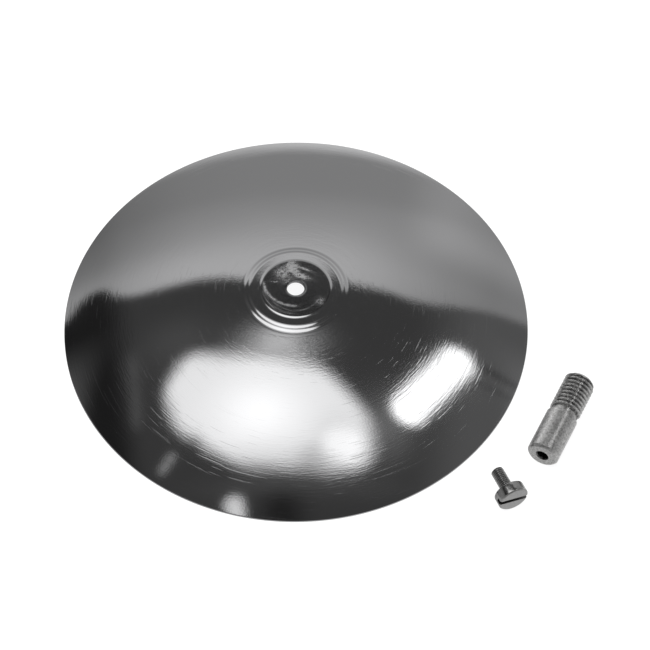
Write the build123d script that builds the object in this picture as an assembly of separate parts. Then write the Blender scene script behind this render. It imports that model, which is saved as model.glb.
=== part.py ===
from build123d import *
from math import atan2, cos, radians, sin, sqrt
import os

os.makedirs("parts", exist_ok=True)

# Round spun-metal air filter cover with its mounting stud and slotted cover screw.
# Millimetres, +Z up. The origin is the centre of the cover's rim plane.
# The cover sits rim down. The stud and the screw lie loose beside it on the same plane.

# ---- cover: a shallow spun dome with a stepped hub ----
rim_radius = 89.0          # outer radius at the rim
sheet = 1.1                # sheet thickness
seat_height = 23.7         # top of the flat hub seat above the rim plane
hole_radius = 3.3          # centre hole, clears the screw's shank
rim_edge_height = 0.6      # trimmed vertical edge of the rim
rim_round = 0.4            # rounding of the rim's outer corner
# hub steps, as (start radius, end radius, drop); each is an S-shaped shoulder
hub_steps = [(12.6, 14.0, 0.30), (17.2, 18.8, 0.36), (18.8, 20.5, 0.38)]
land_drop = 0.10           # fall of the land between the first and second steps
blend_radius = 21.3        # where the hub meets the dome
blend_drop = 0.03          # last fall from the outer step to the dome

# ---- stud: plain barrel, relief neck, M12 x 1.75 thread ----
barrel_radius = 6.1
barrel_length = 19.0
barrel_chamfer = 0.8
barrel_back_chamfer = 0.35
neck_radius = 4.9
neck_length = 1.8
stud_thread_pitch = 1.75
stud_thread_major = 5.95   # crest radius
stud_thread_minor = 5.0    # root radius
stud_thread_length = 16.2
stud_tip_chamfer = 1.2
tap_radius = 2.1           # M5 tapping size
tap_depth = 12.0
tap_countersink = 0.45

# ---- screw: slotted cheese head, M5 x 0.8 thread ----
head_radius = 5.9
head_height = 4.5
head_chamfer = 0.7
head_under_round = 0.25
slot_width = 1.7
slot_depth = 2.0
screw_thread_pitch = 0.8
screw_thread_major = 2.45
screw_thread_minor = 1.98
screw_length = 10.0        # under the head to the tip
screw_neck_length = 0.7
screw_neck_radius = 2.0
screw_tip_chamfer = 0.7

# ---- where the loose pieces lie, beside the cover ----
stud_centre = (99.5, -47.2)      # middle of the stud's length
stud_heading = 64.4              # degrees from +X, from barrel end to thread end
screw_centre = (77.4, -76.5)     # middle of the screw's length
screw_heading = -65.0            # degrees from +X, from shank tip to slotted face
slot_roll = -11.7                # slot against the horizontal, in the head's face


def s_curve(r0, z0, r1, z1):
    """Two equal tangent arcs, level at both ends, from (r0, z0) to (r1, z1)."""
    w, h = r1 - r0, z0 - z1
    mid = ((r0 + r1) / 2, (z0 + z1) / 2)
    rho = (w * w + h * h) / (4 * h)
    half = atan2(w / 2, rho - h / 2) / 2
    upper = (r0 + rho * sin(half), z0 - rho * (1 - cos(half)))
    lower = (r1 - rho * sin(half), z1 + rho * (1 - cos(half)))
    return [
        ThreePointArc((r0, z0), upper, mid),
        ThreePointArc(mid, lower, (r1, z1)),
    ]


def hub_profile(offset):
    """Edges of one hub surface from the hole outwards, lowered by offset, and its last point."""
    z = seat_height - offset
    r = hole_radius
    edges = []
    for index, (r0, r1, drop) in enumerate(hub_steps):
        fall = land_drop if index == 1 else 0.0
        if r0 > r + 1e-6:
            edges.append(Line((r, z), (r0, z - fall)))
            z -= fall
        edges += s_curve(r0, z, r1, z - drop)
        r, z = r1, z - drop
    return edges, (r, z)


# dome: one circular arc, from the hub to the rim
hub_outer, hub_outer_end = hub_profile(0.0)
hub_inner, hub_inner_end = hub_profile(sheet)
blend_z = hub_outer_end[1] - blend_drop
rise = blend_z - rim_edge_height
# circle with its centre on the axis through (blend_radius, blend_z) and (rim_radius, rim_edge_height)
dome_centre = (
    (rim_radius**2 + rim_edge_height**2) - (blend_radius**2 + blend_z**2)
) / (2 * (rim_edge_height - blend_z))
dome_radius = sqrt(rim_radius**2 + (rim_edge_height - dome_centre) ** 2)
inner_radius = dome_radius - sheet


def on_arc(radius, r):
    return (r, dome_centre + sqrt(radius**2 - r**2))


inner_foot = sqrt(inner_radius**2 - dome_centre**2)
print("dome sphere radius", round(dome_radius, 2), "rim foot width", round(rim_radius - inner_foot, 2))

outline = list(hub_outer)
outline.append(Line(hub_outer_end, (blend_radius, blend_z)))
outline.append(
    ThreePointArc(
        (blend_radius, blend_z),
        on_arc(dome_radius, 60.0),
        (rim_radius, rim_edge_height),
    )
)
outline.append(Line((rim_radius, rim_edge_height), (rim_radius, 0)))
outline.append(Line((rim_radius, 0), (inner_foot, 0)))
outline.append(
    ThreePointArc(
        (inner_foot, 0), on_arc(inner_radius, 60.0), on_arc(inner_radius, blend_radius)
    )
)
outline.append(Line(on_arc(inner_radius, blend_radius), hub_inner_end))
outline += list(reversed(hub_inner))
outline.append(Line((hole_radius, seat_height - sheet), (hole_radius, seat_height)))

with BuildPart() as cover_build:
    with BuildSketch(Plane.XZ):
        with BuildLine():
            for edge in outline:
                add(edge)
        make_face()
    revolve(axis=Axis.Z)
    rim_corner = (
        cover_build.edges()
        .filter_by(GeomType.CIRCLE)
        .filter_by(
            lambda e: abs(e.radius - rim_radius) < 0.01
            and abs(e.center().Z - rim_edge_height) < 0.01
        )
    )
    fillet(rim_corner, rim_round)
filter_cover = cover_build.part


def threaded_rod(major, minor, pitch, length, tip_chamfer):
    """A right-hand external thread along +Z from z = 0 to length, with its tip at length."""
    depth = major - minor
    root = 0.25 * pitch
    base = pitch - root
    crest = base - 2 * depth * 0.577
    if crest < 0.1 * pitch:
        crest = 0.1 * pitch
    sink = 0.15
    turns = length + 2 * pitch
    path = Helix(pitch=pitch, height=turns, radius=minor)
    spread = base / 2 + sink * 0.577
    section = Plane(origin=(minor, 0, 0), x_dir=(1, 0, 0), z_dir=(0, -1, 0)) * Polygon(
        (-sink, -spread),
        (depth, -crest / 2),
        (depth, crest / 2),
        (-sink, spread),
        align=None,
    )
    ridge = sweep(section, path=path, is_frenet=True)
    ridge = Pos(0, 0, -pitch) * ridge
    # the core runs past both ends of the ridge, so that no two end faces coincide before the trim
    core = Pos(0, 0, length / 2) * Cylinder(minor, length + 2.5 * pitch)
    over = 0.4  # the envelope stands clear of the crests and only trims the two ends
    with BuildPart() as envelope_build:
        with BuildSketch(Plane.XZ):
            with BuildLine():
                Polyline(
                    (0, 0),
                    (major + over, 0),
                    (major + over, length - tip_chamfer - over),
                    (major - tip_chamfer, length),
                    (0, length),
                    (0, 0),
                )
            make_face()
        revolve(axis=Axis.Z)
    rod = (core + ridge) & envelope_build.part
    solid_core = 3.14159 * minor**2 * (length - tip_chamfer)
    if len(rod.solids()) != 1 or rod.volume < solid_core:
        raise ValueError("the thread's core was lost")
    return rod


def lay(piece, centre, heading, height, length, roll=0.0):
    """Lay a piece made along +Z down on the plane, its length centred on centre and running along heading."""
    a, b = radians(heading), radians(roll)
    along = Vector(cos(a), sin(a), 0)
    across = Vector(-sin(a), cos(a), 0)
    x_dir = across * cos(b) + Vector(0, 0, 1) * sin(b)
    start = Vector(centre[0], centre[1], height) - along * (length / 2)
    return Plane(origin=start, x_dir=x_dir, z_dir=along) * piece


# ---- stud, along +Z from the barrel end ----
stud_length = barrel_length + neck_length + stud_thread_length
with BuildPart() as shank_build:
    with BuildSketch(Plane.XZ):
        with BuildLine():
            Polyline(
                (0, tap_depth + tap_radius * 0.6),
                (tap_radius, tap_depth),
                (tap_radius, tap_countersink),
                (tap_radius + tap_countersink, 0),
                (barrel_radius - barrel_chamfer, 0),
                (barrel_radius, barrel_chamfer),
                (barrel_radius, barrel_length - barrel_back_chamfer),
                (barrel_radius - barrel_back_chamfer, barrel_length),
                (neck_radius, barrel_length),
                (neck_radius, barrel_length + neck_length),
                (0, barrel_length + neck_length),
                (0, tap_depth + tap_radius * 0.6),
            )
        make_face()
    revolve(axis=Axis.Z)
stud_rod = threaded_rod(
    stud_thread_major,
    stud_thread_minor,
    stud_thread_pitch,
    stud_thread_length,
    tip_chamfer=stud_tip_chamfer,
)
stud_upright = shank_build.part + Pos(0, 0, barrel_length + neck_length) * stud_rod
mounting_stud = lay(stud_upright, stud_centre, stud_heading, barrel_radius, stud_length)

# ---- screw, along +Z from the shank tip to the slotted face ----
screw_total = screw_length + head_height
with BuildPart() as head_build:
    with BuildSketch(Plane.XZ):
        with BuildLine():
            Polyline(
                (0, screw_length - screw_neck_length),
                (screw_neck_radius, screw_length - screw_neck_length),
                (screw_neck_radius, screw_length),
                (head_radius - head_under_round, screw_length),
                (head_radius, screw_length + head_under_round),
                (head_radius, screw_total - head_chamfer),
                (head_radius - head_chamfer, screw_total),
                (0, screw_total),
                (0, screw_length - screw_neck_length),
            )
        make_face()
    revolve(axis=Axis.Z)
    with Locations((0, 0, screw_total - slot_depth / 2)):
        Box(4 * head_radius, slot_width, slot_depth, mode=Mode.SUBTRACT)
screw_rod = threaded_rod(
    screw_thread_major,
    screw_thread_minor,
    screw_thread_pitch,
    screw_length - screw_neck_length,
    tip_chamfer=screw_tip_chamfer,
)
rod_down = Pos(0, 0, screw_length - screw_neck_length) * Rot(180, 0, 0) * screw_rod
screw_upright = head_build.part + rod_down
cover_screw = lay(
    screw_upright, screw_centre, screw_heading, head_radius, screw_total, roll=slot_roll
)

for name, piece in (
    ("filter_cover", filter_cover),
    ("mounting_stud", mounting_stud),
    ("cover_screw", cover_screw),
):
    solids = piece.solids()
    box = piece.bounding_box()
    print(name, "solids", len(solids), "valid", all(s.is_valid for s in solids), "volume", round(piece.volume, 1))
    print("   x", round(box.min.X, 2), round(box.max.X, 2), "y", round(box.min.Y, 2), round(box.max.Y, 2), "z", round(box.min.Z, 3), round(box.max.Z, 3))
    export_step(solids[0] if len(solids) == 1 else piece, f"parts/{name}.step")
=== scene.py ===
import math

import bmesh
import bpy
import numpy as np
from mathutils import Matrix, Vector


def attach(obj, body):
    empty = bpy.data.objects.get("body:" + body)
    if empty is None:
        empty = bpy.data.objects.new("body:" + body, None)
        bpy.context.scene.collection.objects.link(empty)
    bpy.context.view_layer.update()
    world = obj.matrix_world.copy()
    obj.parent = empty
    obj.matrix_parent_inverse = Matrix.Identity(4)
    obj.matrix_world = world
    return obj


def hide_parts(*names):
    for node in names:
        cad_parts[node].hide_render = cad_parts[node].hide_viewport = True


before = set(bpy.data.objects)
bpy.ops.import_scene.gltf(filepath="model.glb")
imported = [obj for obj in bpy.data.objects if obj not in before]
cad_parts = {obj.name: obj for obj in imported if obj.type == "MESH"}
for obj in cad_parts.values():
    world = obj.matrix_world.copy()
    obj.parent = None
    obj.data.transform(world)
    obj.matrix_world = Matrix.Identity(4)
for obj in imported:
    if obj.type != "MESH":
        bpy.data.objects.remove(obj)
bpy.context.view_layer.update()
scene = bpy.context.scene
MM = 0.001

# ------------------------------------------------------------------ sizes, in mm, as in the CAD
RIM_R, SHEET, SEAT_Z, HOLE_R = 89.0, 1.1, 23.7, 3.3
RIM_EDGE, RIM_ROUND = 0.6, 0.4
BLEND_R, HUB_FALL = 21.3, 1.17
STUD_CENTRE, STUD_HEADING = (99.5, -47.2), 64.4
BARREL_R, BARREL_L, NECK_R, NECK_L, STUD_THREAD_L = 6.1, 19.0, 4.9, 1.8, 16.2
STUD_MAJOR, STUD_MINOR, STUD_PITCH, TAP_R, TAP_DEPTH = 5.95, 5.0, 1.75, 2.1, 12.0
SCREW_CENTRE, SCREW_HEADING = (77.4, -76.5), -65.0
HEAD_R, HEAD_H, SHANK_L, SCREW_MAJOR, SCREW_MINOR, SCREW_PITCH = 5.9, 4.5, 10.0, 2.45, 1.98, 0.8
SLOT_ROLL, SLOT_W, SLOT_D = -11.7, 1.7, 2.0

# the dome is one sphere, through the hub's foot and the rim's edge
foot_z = SEAT_Z - HUB_FALL
dome_c = ((RIM_R**2 + RIM_EDGE**2) - (BLEND_R**2 + foot_z**2)) / (2 * (RIM_EDGE - foot_z))
dome_R = math.sqrt(RIM_R**2 + (RIM_EDGE - dome_c) ** 2)


# ------------------------------------------------------------------ mesh helpers
def arc(cx, cz, rad, a0, a1, n, skip_first=True):
    """Points on a circle in the (r, z) plane, angles in degrees."""
    pts = []
    for i in range(n + 1):
        if i == 0 and skip_first:
            continue
        a = math.radians(a0 + (a1 - a0) * i / n)
        pts.append((cx + rad * math.cos(a), cz + rad * math.sin(a)))
    return pts


def straight(p, q, n):
    """Points after p up to q."""
    return [(p[0] + (q[0] - p[0]) * i / n, p[1] + (q[1] - p[1]) * i / n) for i in range(1, n + 1)]


def mesh_object(name, verts, faces, sharp_deg=None):
    me = bpy.data.meshes.new(name)
    me.from_pydata([tuple(v) for v in verts], [], faces)
    me.validate()
    me.update()
    me.polygons.foreach_set("use_smooth", [True] * len(me.polygons))
    if sharp_deg is not None:
        me.set_sharp_from_angle(angle=math.radians(sharp_deg))
    ob = bpy.data.objects.new(name, me)
    scene.collection.objects.link(ob)
    return ob


def tidied(ob):
    """Points within a micron of each other merged, so that no face has zero area."""
    bm = bmesh.new()
    bm.from_mesh(ob.data)
    bmesh.ops.remove_doubles(bm, verts=bm.verts, dist=1e-6)
    bmesh.ops.dissolve_degenerate(bm, dist=1e-7, edges=bm.edges)
    bm.to_mesh(ob.data)
    bm.free()
    ob.data.update()


def revolve_rows(rows, around, closed_loop=False, radius_at=None):
    """Vertices and faces of a surface of revolution about Z.
    rows are (r, z); a row with r of 0 is one point on the axis. radius_at(row index, angles) may change the radius round a row."""
    ang = np.arange(around) * (2 * math.pi / around)
    ca, sa = np.cos(ang), np.sin(ang)
    verts, start = [], []
    for i, (r, z) in enumerate(rows):
        start.append(len(verts))
        if r <= 1e-9:
            verts.append((0.0, 0.0, z))
            continue
        rr = radius_at(i, ang) if radius_at else None
        if rr is None:
            rr = np.full(around, r)
        verts.extend(zip(rr * ca, rr * sa, np.full(around, z)))
    faces = []
    n = len(rows)
    for i in range(n if closed_loop else n - 1):
        a, b = start[i], start[(i + 1) % n]
        a_point, b_point = rows[i][0] <= 1e-9, rows[(i + 1) % n][0] <= 1e-9
        for j in range(around):
            k = (j + 1) % around
            if a_point:
                faces.append((a, b + k, b + j))
            elif b_point:
                faces.append((a + j, a + k, b))
            else:
                faces.append((a + j, a + k, b + k, b + j))
    return verts, faces


def smoothstep(x):
    x = np.clip(x, 0, 1)
    return x * x * (3 - 2 * x)


# ------------------------------------------------------------------ node helpers
class Expr:
    """A socket or number that can be added, multiplied and so on into math nodes."""

    def __init__(self, tree, value):
        self.tree, self.value = tree, value

    def _make(self, op, *others, clamp=False):
        node = self.tree.nodes.new("ShaderNodeMath")
        node.operation = op
        node.use_clamp = clamp
        for i, v in enumerate((self,) + others):
            v = v.value if isinstance(v, Expr) else v
            if isinstance(v, (int, float)):
                node.inputs[i].default_value = float(v)
            else:
                self.tree.links.new(v, node.inputs[i])
        return Expr(self.tree, node.outputs[0])

    def __add__(self, o):
        return self._make("ADD", o)

    __radd__ = __add__

    def __sub__(self, o):
        return self._make("SUBTRACT", o)

    def __rsub__(self, o):
        return Expr(self.tree, float(o))._make("SUBTRACT", self)

    def __mul__(self, o):
        return self._make("MULTIPLY", o)

    __rmul__ = __mul__

    def __truediv__(self, o):
        return self._make("DIVIDE", o)

    def __neg__(self):
        return self._make("MULTIPLY", -1.0)

    def abs(self):
        return self._make("ABSOLUTE")

    def sqrt(self):
        return self._make("SQRT")

    def max(self, o):
        return self._make("MAXIMUM", o)

    def min(self, o):
        return self._make("MINIMUM", o)

    def acos(self):
        return self._make("ARCCOSINE")

    def atan2(self, o):
        return self._make("ARCTAN2", o)

    def power(self, o):
        return self._make("POWER", o)

    def sin(self):
        return self._make("SINE")

    def clamp(self):
        return self._make("ADD", 0.0, clamp=True)

    def step(self, lo, hi, to0=0.0, to1=1.0, kind="SMOOTHSTEP"):
        """Smoothly from to0 at lo to to1 at hi. lo may be above hi."""
        if lo > hi:
            lo, hi, to0, to1 = hi, lo, to1, to0
        node = self.tree.nodes.new("ShaderNodeMapRange")
        node.interpolation_type = kind
        for name, v in (("From Min", lo), ("From Max", hi), ("To Min", to0), ("To Max", to1)):
            node.inputs[name].default_value = v
        self.tree.links.new(self.value, node.inputs["Value"])
        return Expr(self.tree, node.outputs["Result"])


def curve(x, points, lo, hi):
    """A smooth curve through (x, y) points, with y between lo and hi."""
    x0, x1 = points[0][0], points[-1][0]
    node = x.tree.nodes.new("ShaderNodeFloatCurve")
    c = node.mapping.curves[0]
    pts = [((px - x0) / (x1 - x0), (py - lo) / (hi - lo)) for px, py in points]
    c.points[0].location, c.points[1].location = pts[0], pts[-1]
    for q in pts[1:-1]:
        c.points.new(*q)
    node.mapping.update()
    put(x.tree, x.step(x0, x1, 0.0, 1.0, "LINEAR"), node.inputs["Value"])
    return Expr(x.tree, node.outputs[0]) * (hi - lo) + lo


def bump_at(x, centre, width):
    """A smooth hill of height 1 about centre."""
    d = (x - centre) / width
    return (-(d * d))._make("EXPONENT")


def hypot(a, b):
    return (a * a + b * b).sqrt()


def combine(tree, x, y, z):
    node = tree.nodes.new("ShaderNodeCombineXYZ")
    for i, v in enumerate((x, y, z)):
        v = v.value if isinstance(v, Expr) else v
        if isinstance(v, (int, float)):
            node.inputs[i].default_value = float(v)
        else:
            tree.links.new(v, node.inputs[i])
    return node.outputs[0]


def separate(tree, socket):
    node = tree.nodes.new("ShaderNodeSeparateXYZ")
    tree.links.new(socket, node.inputs[0])
    return [Expr(tree, node.outputs[i]) for i in range(3)]


def noise(tree, vector, scale, detail=2.0, rough=0.5, distortion=0.0):
    node = tree.nodes.new("ShaderNodeTexNoise")
    node.inputs["Scale"].default_value = scale
    node.inputs["Detail"].default_value = detail
    node.inputs["Roughness"].default_value = rough
    node.inputs["Distortion"].default_value = distortion
    tree.links.new(vector, node.inputs["Vector"])
    return Expr(tree, node.outputs[0])


def put(tree, value, socket):
    if isinstance(value, Expr):
        value = value.value
    if isinstance(value, (int, float)):
        socket.default_value = value
    else:
        tree.links.new(value, socket)


def grey(tree, value, tint=(1, 1, 1)):
    """A colour from a grey level, with a fixed tint."""
    value = value if isinstance(value, Expr) else Expr(tree, value)
    return combine(tree, value * tint[0], value * tint[1], value * tint[2])


def bump(tree, height, distance, strength=1.0, normal=None):
    node = tree.nodes.new("ShaderNodeBump")
    node.inputs["Strength"].default_value = strength
    node.inputs["Distance"].default_value = distance
    put(tree, height, node.inputs["Height"])
    if normal is not None:
        tree.links.new(normal, node.inputs["Normal"])
    return node.outputs[0]


def metal(name):
    """A metallic material, its tree, shader, and object coordinates in mm."""
    mat = bpy.data.materials.new(name)
    mat.use_nodes = True
    tree = mat.node_tree
    shader = tree.nodes["Principled BSDF"]
    shader.inputs["Metallic"].default_value = 1.0
    coord = tree.nodes.new("ShaderNodeTexCoord")
    x, y, z = separate(tree, coord.outputs["Object"])
    return mat, tree, shader, x * 1000.0, y * 1000.0, z * 1000.0


# ------------------------------------------------------------------ camera
FOCAL_PX, ELEV, DIST, TARGET = 3000.0, 54.74, 1153.0, (11.1, -0.3, 0.0)
cam_data = bpy.data.cameras.new("camera")
cam_data.sensor_width = 36.0
cam_data.sensor_fit = "HORIZONTAL"
cam_data.lens = FOCAL_PX / 650.0 * 36.0
cam_data.clip_start, cam_data.clip_end = 0.01, 50.0
camera = bpy.data.objects.new("camera", cam_data)
scene.collection.objects.link(camera)
e = math.radians(ELEV)
back = Vector((0, -math.cos(e), math.sin(e)))
camera.location = (Vector(TARGET) + back * DIST) * MM
camera.rotation_euler = (-back).to_track_quat("-Z", "Y").to_euler()
scene.camera = camera
scene.view_settings.view_transform = "Standard"
scene.view_settings.look = "None"
scene.view_settings.exposure = 0.0
scene.view_settings.gamma = 1.0

# ------------------------------------------------------------------ studio: what the polished dome sees
# Directions are laid out flat round the zenith, in degrees: u to the right, v to the back.
world = bpy.data.worlds.new("studio")
scene.world = world
world.use_nodes = True
wt = world.node_tree
wt.nodes.clear()
w_out = wt.nodes.new("ShaderNodeOutputWorld")
w_bg = wt.nodes.new("ShaderNodeBackground")
w_tc = wt.nodes.new("ShaderNodeTexCoord")
dx, dy, dz = separate(wt, w_tc.outputs["Generated"])
flat = hypot(dx, dy).max(1e-5)
theta = dz.max(-1.0).min(1.0).acos() * (180 / math.pi)
u, v = theta * dx / flat, theta * dy / flat


def softbox(cu, cv, half_w, half_h, corner, turn, soft, level):
    """A rounded rectangle of light in the flat layout, with a soft edge."""
    a = math.radians(turn)
    pu = ((u - cu) * math.cos(a) + (v - cv) * math.sin(a)).abs() - (half_w - corner)
    pv = ((v - cv) * math.cos(a) - (u - cu) * math.sin(a)).abs() - (half_h - corner)
    d = hypot(pu.max(0.0), pv.max(0.0)) + pu.max(pv).min(0.0) - corner
    return d.step(soft / 2, -soft / 2, 0.0, level)


def half_plane(nu, nv, d, soft):
    """1 inside the line nu*u + nv*v = d, with a soft edge; (nu, nv) points outwards."""
    return (u * nu + v * nv).step(d + soft / 2, d - soft / 2)


F = 0.66  # what the cover reflects
dark = 0.034 / F
room = (
    dark
    + u.step(26, 44, 0.0, 0.038 / F)
    - u.step(-37, -46, 0.0, 0.024 / F)
    + bump_at(u, -39.5, 1.6) * v.step(0, 6) * v.step(27, 19) * (0.03 / F)
    - bump_at(v + (u - 48.0) * 0.12, 21.5, 1.0) * u.step(40, 44) * (0.04 / F)
    - bump_at(v + (u - 48.0) * 0.1, 17.0, 0.7) * u.step(40, 44) * (0.025 / F)
    - bump_at(u, -4.0, 6.0) * v.step(-16, -24) * (0.022 / F)
    + bump_at(u, -28.0, 9.0) * bump_at(v, 24.0, 7.0) * (0.02 / F)
)
# paper wall at the back, brightest along its top edge
wall_edge = v + curve(
    u,
    [(-60, -4.2), (-55, -4.8), (-50, -9.0), (-46, -10.0), (-42, -6.0), (-35, -3.4), (-22, -3.2), (-10, -1.3),
     (0, -0.4), (10, -0.2), (20, 1.0), (28, 2.2), (36, 0.4), (45, -2.0), (60, -4.5)],
    -12.0,
    4.0,
)
wall_side = u.step(26, 46, 1.0, 0.38) * 1.0
wall_side = wall_side + v.step(46, 62) * u.step(20, 34) * 0.42
wall_level = (0.170 + bump_at(v, 42.0, 16.0) * 0.172) * u.step(-22, -46, 1.0, 0.74) * wall_side / F
wall_level = wall_level * (bump_at(u, 29.0, 13.0) * v.step(68, 48) * -0.32 + 1.0)
wall_level = wall_level * (u.step(-5, -45) * v.step(46, 58) * -0.19 + 1.0)
wall_level = wall_level * (v.step(64, 72) * -0.09 + 1.0)
wall_level = wall_level * (u.step(24, 38) * v.step(62, 48) * -0.13 + 1.0)
wall = wall_edge.step(36.4, 40.0) * wall_level
# a dimmer wall all round, for the sides that the main view doesn't see
around = theta.step(50, 66) * v.step(36, 8) * (0.16 / F)
# pale paper below the horizon, in place of the floor's own reflection
paper = theta.step(89.0, 97.0) * (v.step(15, 80) * (u.step(-30, 35) * 0.15 + 0.06) + 0.13) / F
# the big lamp overhead: seven soft edges, brightest left of its middle
lamp = (
    half_plane(0.19, 0.982, 14.1, 6.5)
    * half_plane(0.721, 0.693, 13.3, 5.5)
    * half_plane(1.0, 0.0, 17.8, 8.5)
    * half_plane(-0.072, -0.997, 13.4, 6.5)
    * half_plane(0.50, -0.866, 19.0, 5.0)
    * half_plane(-0.628, -0.778, 19.0, 5.0)
    * half_plane(-0.98, -0.2, 29.3, 5.0)
    * half_plane(-0.81, 0.586, 32.5, 5.5)
)
lamp_level = 0.74 + bump_at(u, -9.0, 11.0) * bump_at(v, 1.5, 9.0) * 0.24 - v.step(-4, -13) * 0.14
lamp_level = lamp_level - bump_at(u, -25.5, 2.2) * bump_at(v, -5.5, 2.8) * 0.42
lamp_level = lamp_level - bump_at(u, 3.5, 4.0) * bump_at(v, -11.0, 4.0) * 0.2
lamp_level = lamp_level - bump_at(u, 10.0, 5.0) * bump_at(v, -3.5, 4.0) * 0.14
lamp = lamp * lamp_level / F
lamp2 = softbox(12.2, -7.2, 5.6, 4.4, 4.0, -20.0, 5.0, 0.28 / F)
lamp_glow = bump_at(u, -4.2, 7.5) * bump_at(v, 20.3, 4.8) * (0.42 / F)
lamp_glow = lamp_glow + bump_at(u, 22.0, 6.0) * bump_at(v, -1.0, 8.0) * (0.075 / F)
lamp_glow = lamp_glow + bump_at(u, 2.0, 22.0) * bump_at(v, -17.0, 3.0) * (0.02 / F)
strip = softbox(32.4, 12.8, 13.6, 4.1, 3.9, 56.5, 3.8, 1.3 / F)
spot = softbox(-16.0, -23.4, 2.4, 3.4, 2.3, 10.0, 4.0, 0.56 / F)
spot2 = softbox(-32.6, -8.6, 0.9, 2.6, 0.9, -42.0, 3.6, 0.18 / F)
light = (room + wall + around + paper + lamp + lamp2 + lamp_glow + strip + spot + spot2).max(0.0)
put(wt, grey(wt, light, (1.0, 1.0, 1.0)), w_bg.inputs["Color"])
wt.links.new(w_bg.outputs[0], w_out.inputs["Surface"])


def area(name, place, look_at, size, power, glossy=False):
    data = bpy.data.lights.new(name, "AREA")
    data.shape, data.size, data.energy = "DISK", size, power
    ob = bpy.data.objects.new(name, data)
    ob.location = place
    ob.rotation_euler = (Vector(look_at) - Vector(place)).to_track_quat("-Z", "Y").to_euler()
    ob.visible_glossy = glossy
    scene.collection.objects.link(ob)
    return ob


area("overhead_soft", (-0.25, 0.05, 1.6), (0.01, 0, 0), 1.6, 36.0)
area("front_fill", (0.5, -1.6, 1.3), (0.01, 0, 0), 1.4, 14.0)
area("back_fill", (-0.4, 1.8, 1.4), (0.01, 0, 0), 1.4, 14.0)
# a card low behind the loose stud and screw; the cover turns it away
hardware = bpy.data.collections.new("hardware_lit")
card = area("hardware_card", (-0.15, 0.37, 0.22), (0.10, -0.05, 0.0), 0.30, 0.13, glossy=True)
card.light_linking.receiver_collection = hardware

# ------------------------------------------------------------------ floor
floor_verts, floor_faces = revolve_rows([(0.0, 0.0), (0.4, 0.0), (1.2, 0.0), (3.5, 0.0)], 96)
floor = mesh_object("studio_floor", floor_verts, [tuple(reversed(f)) for f in floor_faces])
floor.location = (0.0, 0.0, -0.0002)
fmat = bpy.data.materials.new("floor_white")
fmat.use_nodes = True
ft = fmat.node_tree
fs = ft.nodes["Principled BSDF"]
fs.inputs["Base Color"].default_value = (0.16, 0.16, 0.16, 1)
fs.inputs["Roughness"].default_value = 0.9
fs.inputs["Specular IOR Level"].default_value = 0.0
fs.inputs["Emission Color"].default_value = (1.0, 1.0, 1.0, 1)
fs.inputs["Emission Strength"].default_value = 0.9
floor.visible_glossy = False
floor.data.materials.append(fmat)

# ------------------------------------------------------------------ cover
# slope of the outer face in degrees against radius: the flat seat, its shoulder, a land, and a
# double shoulder down to the dome
SLOPES = [(3.42, 0.0), (12.75, 0.0), (13.4, 15.0), (13.5, 15.0), (14.1, 2.0), (16.6, 1.8), (17.45, 15.5), (17.8, 15.5),
          (18.42, 6.4), (19.0, 15.5), (19.45, 15.5), (20.35, 4.2), (21.0, 6.0), (BLEND_R, math.degrees(math.asin(BLEND_R / dome_R)))]


def hub_rows(offset):
    """Rows of one hub surface, from the hole outwards to the dome, lowered by offset."""
    edge = 0.12
    if offset:
        rows = [(HOLE_R, SEAT_Z - offset + edge)] + arc(HOLE_R + edge, SEAT_Z - offset + edge, edge, 180, 270, 3)
    else:
        rows = [(HOLE_R, SEAT_Z - edge)] + arc(HOLE_R + edge, SEAT_Z - edge, edge, 180, 90, 3)
    rr = np.concatenate([np.linspace(HOLE_R + edge, 12.5, 12), np.arange(12.7, BLEND_R, 0.1), [BLEND_R]])
    slope = np.tan(np.radians(np.interp(rr, *zip(*SLOPES))))
    zz = SEAT_Z - offset - np.concatenate([[0.0], np.cumsum((slope[1:] + slope[:-1]) / 2 * np.diff(rr))])
    # the last little of the fall is shared out so that the hub meets the dome exactly
    target = foot_z - offset
    zz = zz + (target - zz[-1]) * np.clip((rr - 12.9) / (BLEND_R - 12.9), 0, 1)
    return rows + list(zip(rr[1:].tolist(), zz[1:].tolist()))


outer = hub_rows(0.0)
inner = hub_rows(SHEET)
# then the sphere to the rim
rows = list(outer)
a_foot, a_rim = math.asin(BLEND_R / dome_R), math.asin((RIM_R - 0.22) / dome_R)
N_DOME = 130
for i in range(1, N_DOME + 1):
    a = a_foot + (a_rim - a_foot) * i / N_DOME
    rows.append((dome_R * math.sin(a), dome_c + dome_R * math.cos(a)))
# rounded outer corner of the rim, its short upright edge, and a small break below
rim_top = rows[-1][1]
rows += [(RIM_R - 0.09, rim_top - 0.075), (RIM_R - 0.022, rim_top - 0.17), (RIM_R, rim_top - 0.29)]
rows += [(RIM_R, 0.12), (RIM_R - 0.035, 0.035), (RIM_R - 0.12, 0.0)]
in_R = dome_R - SHEET
in_foot = math.sqrt(in_R**2 - dome_c**2)
rows += [(in_foot + 0.1, 0.0), (in_foot + 0.02, 0.03)]
a0, a1 = math.asin(in_foot / in_R) - 0.0006, math.asin(BLEND_R / in_R)
for i in range(0, 71):
    a = a0 + (a1 - a0) * i / 70
    rows.append((in_R * math.sin(a), dome_c + in_R * math.cos(a)))
rows += list(reversed(inner[:-1]))
outer_count = len(rows)
cv, cf = revolve_rows([(r * MM, z * MM) for r, z in rows], 512, closed_loop=True)
cover = mesh_object("cover_polished", cv, [tuple(reversed(f)) for f in cf], sharp_deg=38)
tidied(cover)

mat, t, sh, x, y, z = metal("polished_spun_metal")
r = hypot(x, y)
rs = r.max(0.5)
cx, cy = x / rs, y / rs
on_top = z.step(0.2, 0.5) * 1.0

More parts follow.
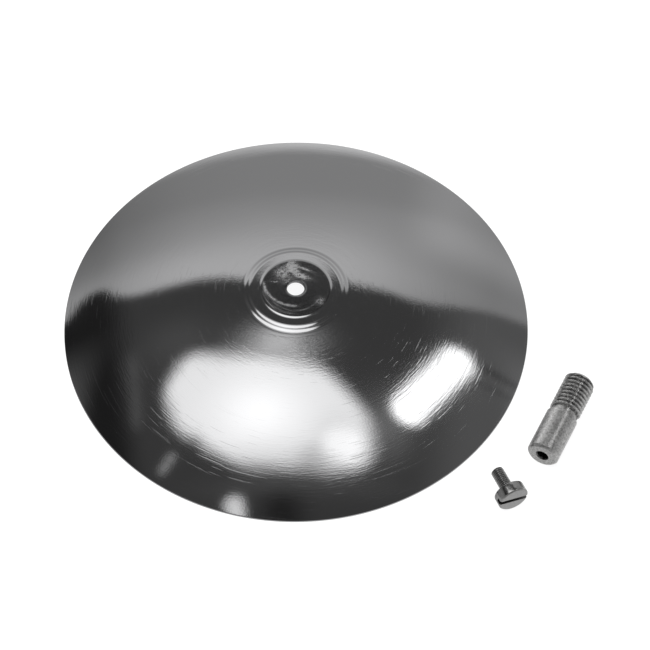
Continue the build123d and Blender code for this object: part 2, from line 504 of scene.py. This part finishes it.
# --- fine rings left by spinning and buffing: quick across the radius, slow round it
patchy = noise(t, combine(t, x, y, z), 0.035, 2.0, 0.5).step(0.36, 0.62, 0.35, 1.0)
near_hub = r.step(40, 20)
fade_out = r.step(89, 70, 0.5, 1.0)
rings = noise(t, combine(t, cx * 7.0, cy * 7.0, r * 1.35), 1.0, 2.0, 0.6) - 0.5
rings_fine = noise(t, combine(t, cx * 15.0, cy * 15.0, r * 2.2), 1.0, 1.0, 0.6) - 0.5
rings_wide = noise(t, combine(t, cx * 2.2, cy * 2.2, r * 0.5), 1.0, 1.0, 0.5) - 0.5
grit = noise(t, combine(t, x, y, z), 1.5, 1.0, 0.6) - 0.5
# single longer scratches, a little off the rings' centre
sx, sy = x - 3.0, y + 2.0
sr = hypot(sx, sy).max(0.5)
scratch_n = noise(t, combine(t, sx / sr * 5.0, sy / sr * 5.0, sr * 1.9), 1.0, 0.0, 0.5)
scratches = scratch_n.step(0.71, 0.77)
height = (
    rings * patchy * fade_out * (near_hub * 0.7 + 0.8)
    + rings_fine * patchy * (near_hub * 1.5 + 0.9)
    + grit * 0.5
    + rings_wide * near_hub * 3.3
    + scratches * 0.3
)
ring_bump = bump(t, height * r.step(20.4, 22.6, 0.3, 1.0), 0.0000105, 1.0)
wave = noise(t, combine(t, x, y, z), 0.045, 1.0, 0.4)
wave_bump = bump(t, wave, 0.00006, 1.0, ring_bump)


# --- hub seat: a dull dark disc, scuffed where a washer and the screw's head have rubbed it, with a painted highlight on the right of the hole's edge
def patch(px, py, a, b, turn=0.0):
    c, w = math.cos(math.radians(turn)), math.sin(math.radians(turn))
    du = ((x - px) * c + (y - py) * w) / a
    dv = ((y - py) * c - (x - px) * w) / b
    return (-(du * du + dv * dv))._make("EXPONENT")


disc = r.step(13.25, 12.95)
flat_v = combine(t, x, y, 0.0)
grain = noise(t, flat_v, 2.4, 2.0, 0.7)
smear = noise(t, combine(t, x * 0.5 + y * 0.35, y * 0.9 - x * 0.3, 0.0), 1.1, 3.0, 0.6)
off = hypot(x, y - 4.0)
arc_wear = bump_at(off + (smear - 0.5) * 0.8, 12.25, 0.55) * x.step(3.0, -2.0) * y.step(4.5, 1.0)
band_wear = bump_at(r, 12.0, 0.8) * x.step(3.0, -5.0) * y.step(3.0, -2.0) * 0.40
streaks = noise(t, combine(t, cx * 2.2, cy * 2.2, r * 2.4), 1.0, 2.0, 0.6).step(0.35, 0.65)
scuff_and_hole_glint = (
    patch(-1.4, 10.9, 1.9, 1.9) * 1.15
    + patch(-1.2, 8.6, 2.2, 1.3, -25) * 1.1
    + patch(-5.2, 7.1, 2.4, 2.8, 20) * 0.75
    + patch(2.2, 5.7, 3.0, 1.1, -22) * 1.0
    + patch(3.0, 9.2, 3.2, 0.5, -24) * 0.8
    + patch(-3.0, 3.4, 2.2, 1.0, 25) * 0.35
    + patch(9.3, -6.0, 1.7, 1.7) * 0.45
    + patch(-8.0, 3.0, 1.2, 0.3) * 0.7
)
scuff_and_hole_glint = scuff_and_hole_glint * (smear.step(0.32, 0.58, 0.25, 1.3) * grain.step(0.30, 0.62, 0.35, 1.25))
scuff_and_hole_glint = scuff_and_hole_glint + arc_wear * (smear.step(0.32, 0.55, 0.35, 1.0) * grain.step(0.3, 0.6, 0.6, 1.1)) * 0.8 + band_wear * streaks
scuff_and_hole_glint = scuff_and_hole_glint + bump_at(r, 10.4, 0.35) * y.step(-4.0, -8.5) * streaks * 0.4
# the ring at r of 4 mm, on the right side only, is a painted highlight where the hole's rounded edge catches the
# light; the grain term is scuffing
scuff_and_hole_glint = scuff_and_hole_glint + bump_at(r, 4.0, 0.35) * x.step(0.0, 3.0) * 0.35 + grain.step(0.62, 0.76) * 0.12
scuff_and_hole_glint = scuff_and_hole_glint.clamp() * disc
speck = (grain.step(0.3, 0.7) * 2.2 + patch(0.0, 5.4, 5.0, 2.2) * smear.step(0.3, 0.6) * 3.0) * disc
base = disc * -0.47 + 0.66 + scuff_and_hole_glint * 0.72 + speck * 0.06
put(t, grey(t, base, (1.0, 1.0, 1.012)), sh.inputs["Base Color"])
rough = patchy * 0.02 + 0.06 + disc * 0.06 + scuff_and_hole_glint * 0.36 + scratches * 0.06
put(t, rough, sh.inputs["Roughness"])
disc_bump = bump(t, (grain + smear) * disc, 0.000006, 1.0, wave_bump)
put(t, disc_bump, sh.inputs["Normal"])
cover.data.materials.append(mat)
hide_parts("filter_cover")
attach(cover, "cover")


# ------------------------------------------------------------------ stud and screw
def thread_radius(z, ang, pitch, major, minor, start, end, tip):
    """Radius of a right-hand 60 degree thread that runs from start to end along its axis."""
    phase = (z - start) / pitch - ang / (2 * math.pi)
    t = np.abs((phase % 1.0) - 0.5)
    crest, root = 1 / 16, 0.5 - 1 / 8
    k = np.clip((root - t) / (root - crest), 0, 1)
    fade = np.clip((z - start) / (0.35 * pitch), 0, 1) * 1.0
    rr = minor + (major - minor) * k * fade
    return np.minimum(rr, major - tip + (end - z))


def placed(verts, centre, heading, height, length, roll=0.0):
    """Points made along +Z, in mm, laid down on the floor plane as the CAD lays its pieces, in metres."""
    a, b = math.radians(heading), math.radians(roll)
    along = np.array([math.cos(a), math.sin(a), 0.0])
    across = np.array([-math.sin(a), math.cos(a), 0.0])
    up = np.array([0.0, 0.0, 1.0])
    xd = across * math.cos(b) + up * math.sin(b)
    yd = np.cross(along, xd)
    start = np.array([centre[0], centre[1], height]) - along * (length / 2)
    v = np.asarray(verts, dtype=float)
    return (start + v[:, :1] * xd + v[:, 1:2] * yd + v[:, 2:] * along) * MM


def rounded(points, radius, n=3):
    """A polyline with its inner corners rounded."""
    out = [points[0]]
    for p, q, w in zip(points[:-2], points[1:-1], points[2:]):
        a = np.subtract(p, q)
        b = np.subtract(w, q)
        la, lb = np.hypot(*a), np.hypot(*b)
        cut = min(radius, 0.45 * la, 0.45 * lb)
        pa, pb = np.add(q, a / la * cut), np.add(q, b / lb * cut)
        for i in range(n + 1):
            f = i / n
            out.append(tuple((1 - f) ** 2 * pa + 2 * f * (1 - f) * np.array(q) + f * f * pb))
    out.append(points[-1])
    return out


def dense(points, step):
    """The same polyline with points no further apart than step."""
    out = [points[0]]
    for p, q in zip(points[:-1], points[1:]):
        n = max(1, int(math.ceil(math.dist(p, q) / step)))
        out += straight(p, q, n)
    return out


STUD_L = BARREL_L + NECK_L + STUD_THREAD_L
neck_end = BARREL_L + NECK_L
barrel = rounded(
    [
        (0.0, TAP_DEPTH + TAP_R * 0.6),
        (TAP_R, TAP_DEPTH),
        (TAP_R, 0.45),
        (TAP_R + 0.45, 0.0),
        (BARREL_R - 0.8, 0.0),
        (BARREL_R, 0.8),
        (BARREL_R, BARREL_L - 0.35),
        (BARREL_R - 0.35, BARREL_L),
        (NECK_R, BARREL_L),
        (NECK_R, neck_end),
    ],
    0.18,
)
rows = dense(barrel, 1.2)
first_thread = len(rows)
n_rows = int(STUD_THREAD_L / STUD_PITCH * 22)
rows += [(STUD_MINOR, neck_end + STUD_THREAD_L * i / n_rows) for i in range(1, n_rows + 1)]
last_thread = len(rows)
tip_r = STUD_MAJOR - 1.2
rows += [(tip_r - 0.15, STUD_L), (tip_r * 0.6, STUD_L), (tip_r * 0.25, STUD_L), (0.0, STUD_L)]


def stud_radius(i, ang):
    if first_thread <= i < last_thread:
        return thread_radius(rows[i][1], ang, STUD_PITCH, STUD_MAJOR, STUD_MINOR, neck_end, STUD_L, 1.2)
    if i == last_thread - 0:
        base_r = thread_radius(STUD_L - 0.01, ang, STUD_PITCH, STUD_MAJOR, STUD_MINOR, neck_end, STUD_L, 1.2)
        return base_r - 0.12
    return None


sv, sf = revolve_rows(rows, 160, radius_at=stud_radius)
stud = mesh_object(
    "stud_turned", placed(sv, STUD_CENTRE, STUD_HEADING, BARREL_R, STUD_L), sf, sharp_deg=30
)


def piece_coords(x, y, z, centre, heading, height, length):
    """Distance along the piece from its start, across it, and up from its axis, in mm."""
    a = math.radians(heading)
    dx_, dy_ = x - centre[0], y - centre[1]
    along = dx_ * math.cos(a) + dy_ * math.sin(a) + length / 2
    across = dy_ * math.cos(a) - dx_ * math.sin(a)
    return along, across, z - height


mat, t, sh, x, y, z = metal("bright_zinc_turned")
al, ac, hh = piece_coords(x, y, z, STUD_CENTRE, STUD_HEADING, BARREL_R, STUD_L)
rad = hypot(ac, hh).max(0.05)
ca, sa = ac / rad, hh / rad
on_thread = al.step(neck_end - 0.2, neck_end + 0.2)
# painted shade: the thread's roots are darker in base colour, and a little rougher
thread_root_shade = rad.step(5.75, 5.05) * on_thread
turned = noise(t, combine(t, ca * 0.8, sa * 0.8, al * 2.6), 1.0, 3.0, 0.6)
blotch = noise(t, combine(t, ac, hh, al), 0.38, 4.0, 0.65)
mottle = noise(t, combine(t, ac, hh, al), 1.2, 3.0, 0.7)
end_rings = noise(t, combine(t, rad * 5.0, 0.0, 0.0), 1.0, 2.0, 0.5)
at_end = al.step(0.25, 0.05)
# painted shade: the inside of the tapped hole is much darker in base colour
tap_hole_shade = rad.step(2.7, 2.4) * al.step(14.0, 13.0)
base = blotch.step(0.3, 0.7, -0.09, 0.07) + mottle.step(0.34, 0.68, -0.24, 0.14) + 0.78
base = base - thread_root_shade * 0.42 - tap_hole_shade * 0.6
put(t, grey(t, base, (1.0, 0.995, 0.985)), sh.inputs["Base Color"])
put(t, blotch.step(0.3, 0.7, 0.29, 0.38) - on_thread * 0.12 + thread_root_shade * 0.08 + mottle * 0.06, sh.inputs["Roughness"])
nb = bump(t, turned * (on_thread * -0.4 + 1.0) * (at_end * -1.0 + 1.0) + end_rings * at_end * 0.6, 0.000012, 1.0)
nb = bump(t, mottle, 0.000010, 1.0, nb)
put(t, nb, sh.inputs["Normal"])
stud.data.materials.append(mat)
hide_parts("mounting_stud")
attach(stud, "stud")
hardware.objects.link(stud)

SCREW_L = SHANK_L + HEAD_H


def combined(a, b, operation):
    """a with b united or cut away, as a new clean mesh on a; b is removed."""
    mod = a.modifiers.new("join", "BOOLEAN")
    mod.operation, mod.object, mod.solver = operation, b, "EXACT"
    deps = bpy.context.evaluated_depsgraph_get()
    me = bpy.data.meshes.new_from_object(a.evaluated_get(deps))
    a.modifiers.clear()
    a.data = me
    old = b.data
    bpy.data.objects.remove(b)
    bpy.data.meshes.remove(old)
    return a


# head, cut by its slot, with small breaks on every edge
head_rows = dense(
    rounded(
        [
            (0.0, SHANK_L),
            (HEAD_R - 0.25, SHANK_L),
            (HEAD_R, SHANK_L + 0.25),
            (HEAD_R, SCREW_L - 0.5),
            (HEAD_R - 0.5, SCREW_L),
            (0.0, SCREW_L),
        ],
        0.12,
        2,
    ),
    1.5,
)
hv, hf = revolve_rows(head_rows, 128)
screw = mesh_object("screw_turned", np.array(hv) * MM, [tuple(reversed(f)) for f in hf])
slot_half = (2 * HEAD_R, SLOT_W / 2)
bx = [(sx_ * slot_half[0], sy_ * slot_half[1], zz_) for zz_ in (SCREW_L - SLOT_D, SCREW_L + 2) for sx_, sy_ in ((-1, -1), (1, -1), (1, 1), (-1, 1))]
cutter = mesh_object("slot_cutter", np.array(bx) * MM, [(3, 2, 1, 0), (4, 5, 6, 7), (0, 1, 5, 4), (1, 2, 6, 5), (2, 3, 7, 6), (3, 0, 4, 7)])
screw = combined(screw, cutter, "DIFFERENCE")
mod = screw.modifiers.new("break", "BEVEL")
mod.width, mod.segments, mod.limit_method, mod.angle_limit = 0.00009, 2, "ANGLE", math.radians(50)
deps = bpy.context.evaluated_depsgraph_get()
me = bpy.data.meshes.new_from_object(screw.evaluated_get(deps))
screw.modifiers.clear()
screw.data = me
# shank, with its tip at z = 0 and its thread running up towards the head
rows = [(0.0, 0.0), (0.7, 0.02), (1.25, 0.10), (1.62, 0.28)]
shank_first = len(rows)
n_rows = int((SHANK_L - 0.7 - 0.4) / SCREW_PITCH * 18)
rows += [(SCREW_MINOR, 0.4 + (SHANK_L - 1.1) * i / n_rows) for i in range(n_rows + 1)]
shank_last = len(rows)
rows += [(2.0, SHANK_L - 0.55), (2.0, SHANK_L - 0.1), (2.05, SHANK_L), (2.05, SHANK_L + 0.8), (0.0, SHANK_L + 0.8)]


def shank_radius(i, ang):
    if shank_first <= i < shank_last:
        zz_ = rows[i][1]
        # the same helix seen from the other end is still right-hand
        phase = zz_ / SCREW_PITCH - ang / (2 * math.pi)
        t_ = np.abs((phase % 1.0) - 0.5)
        k = np.clip((0.375 - t_) / (0.375 - 1 / 16), 0, 1)
        fade = np.clip((SHANK_L - 0.7 - zz_) / 0.3, 0, 1)
        rr = SCREW_MINOR + (SCREW_MAJOR - SCREW_MINOR) * k * fade
        dome = 1.62 + 0.84 * math.sqrt(max(0.0, 1 - max(0.0, (1.1 - zz_) / 0.85) ** 2)) if zz_ < 1.1 else 9.0
        return np.minimum(rr, dome)
    return None


kv, kf = revolve_rows(rows, 96, radius_at=shank_radius)
shank = mesh_object("screw_shank", np.array(kv) * MM, [tuple(reversed(f)) for f in kf])
screw = combined(screw, shank, "UNION")
tidied(screw)
me = screw.data
co = np.array([v.co[:] for v in me.vertices]) / MM
co = placed(co, SCREW_CENTRE, SCREW_HEADING, HEAD_R, SCREW_L, SLOT_ROLL)
me.vertices.foreach_set("co", co.ravel())
me.update()
me.polygons.foreach_set("use_smooth", [True] * len(me.polygons))
me.set_sharp_from_angle(angle=math.radians(28))

mat, t, sh, x, y, z = metal("nickel_turned")
al, ac, hh = piece_coords(x, y, z, SCREW_CENTRE, SCREW_HEADING, HEAD_R, SCREW_L)
rad = hypot(ac, hh).max(0.05)
ca, sa = ac / rad, hh / rad
rb = math.radians(SLOT_ROLL)
across_slot = (hh * math.cos(rb) - ac * math.sin(rb)).abs()
# painted shade: the slot is darker in base colour; it is also rougher
slot_shade = across_slot.step(SLOT_W / 2 + 0.06, SLOT_W / 2 - 0.02) * al.step(SCREW_L - SLOT_D - 0.1, SCREW_L - SLOT_D + 0.02)
face = al.step(SCREW_L - 0.25, SCREW_L - 0.05)
on_shank = al.step(SHANK_L, SHANK_L - 0.2)
# painted shade: the shank's thread roots are darker in base colour
thread_root_shade = rad.step(2.4, 2.0) * on_shank
turned = noise(t, combine(t, ca * 1.2, sa * 1.2, al * 3.5), 1.0, 3.0, 0.6)
mottle = noise(t, combine(t, ac, hh, al), 1.7, 3.0, 0.65)
face_rings = noise(t, combine(t, rad * 4.0, ca * 0.4, sa * 0.4), 1.0, 2.0, 0.5)
base = mottle.step(0.3, 0.7, -0.06, 0.07) + 0.50 + face * 0.04 - thread_root_shade * 0.16 - slot_shade * 0.33
put(t, grey(t, base, (1.0, 0.997, 0.99)), sh.inputs["Base Color"])
put(t, mottle.step(0.3, 0.7, 0.15, 0.24) + face * 0.14 + on_shank * 0.08 + slot_shade * 0.15, sh.inputs["Roughness"])
nb = bump(t, turned * (face * -1.0 + 1.0) + face_rings * face, 0.000010, 1.0)
nb = bump(t, mottle, 0.000012, 1.0, nb)
put(t, nb, sh.inputs["Normal"])
screw.data.materials.clear()
screw.data.materials.append(mat)
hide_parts("cover_screw")
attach(screw, "screw")
hardware.objects.link(screw)
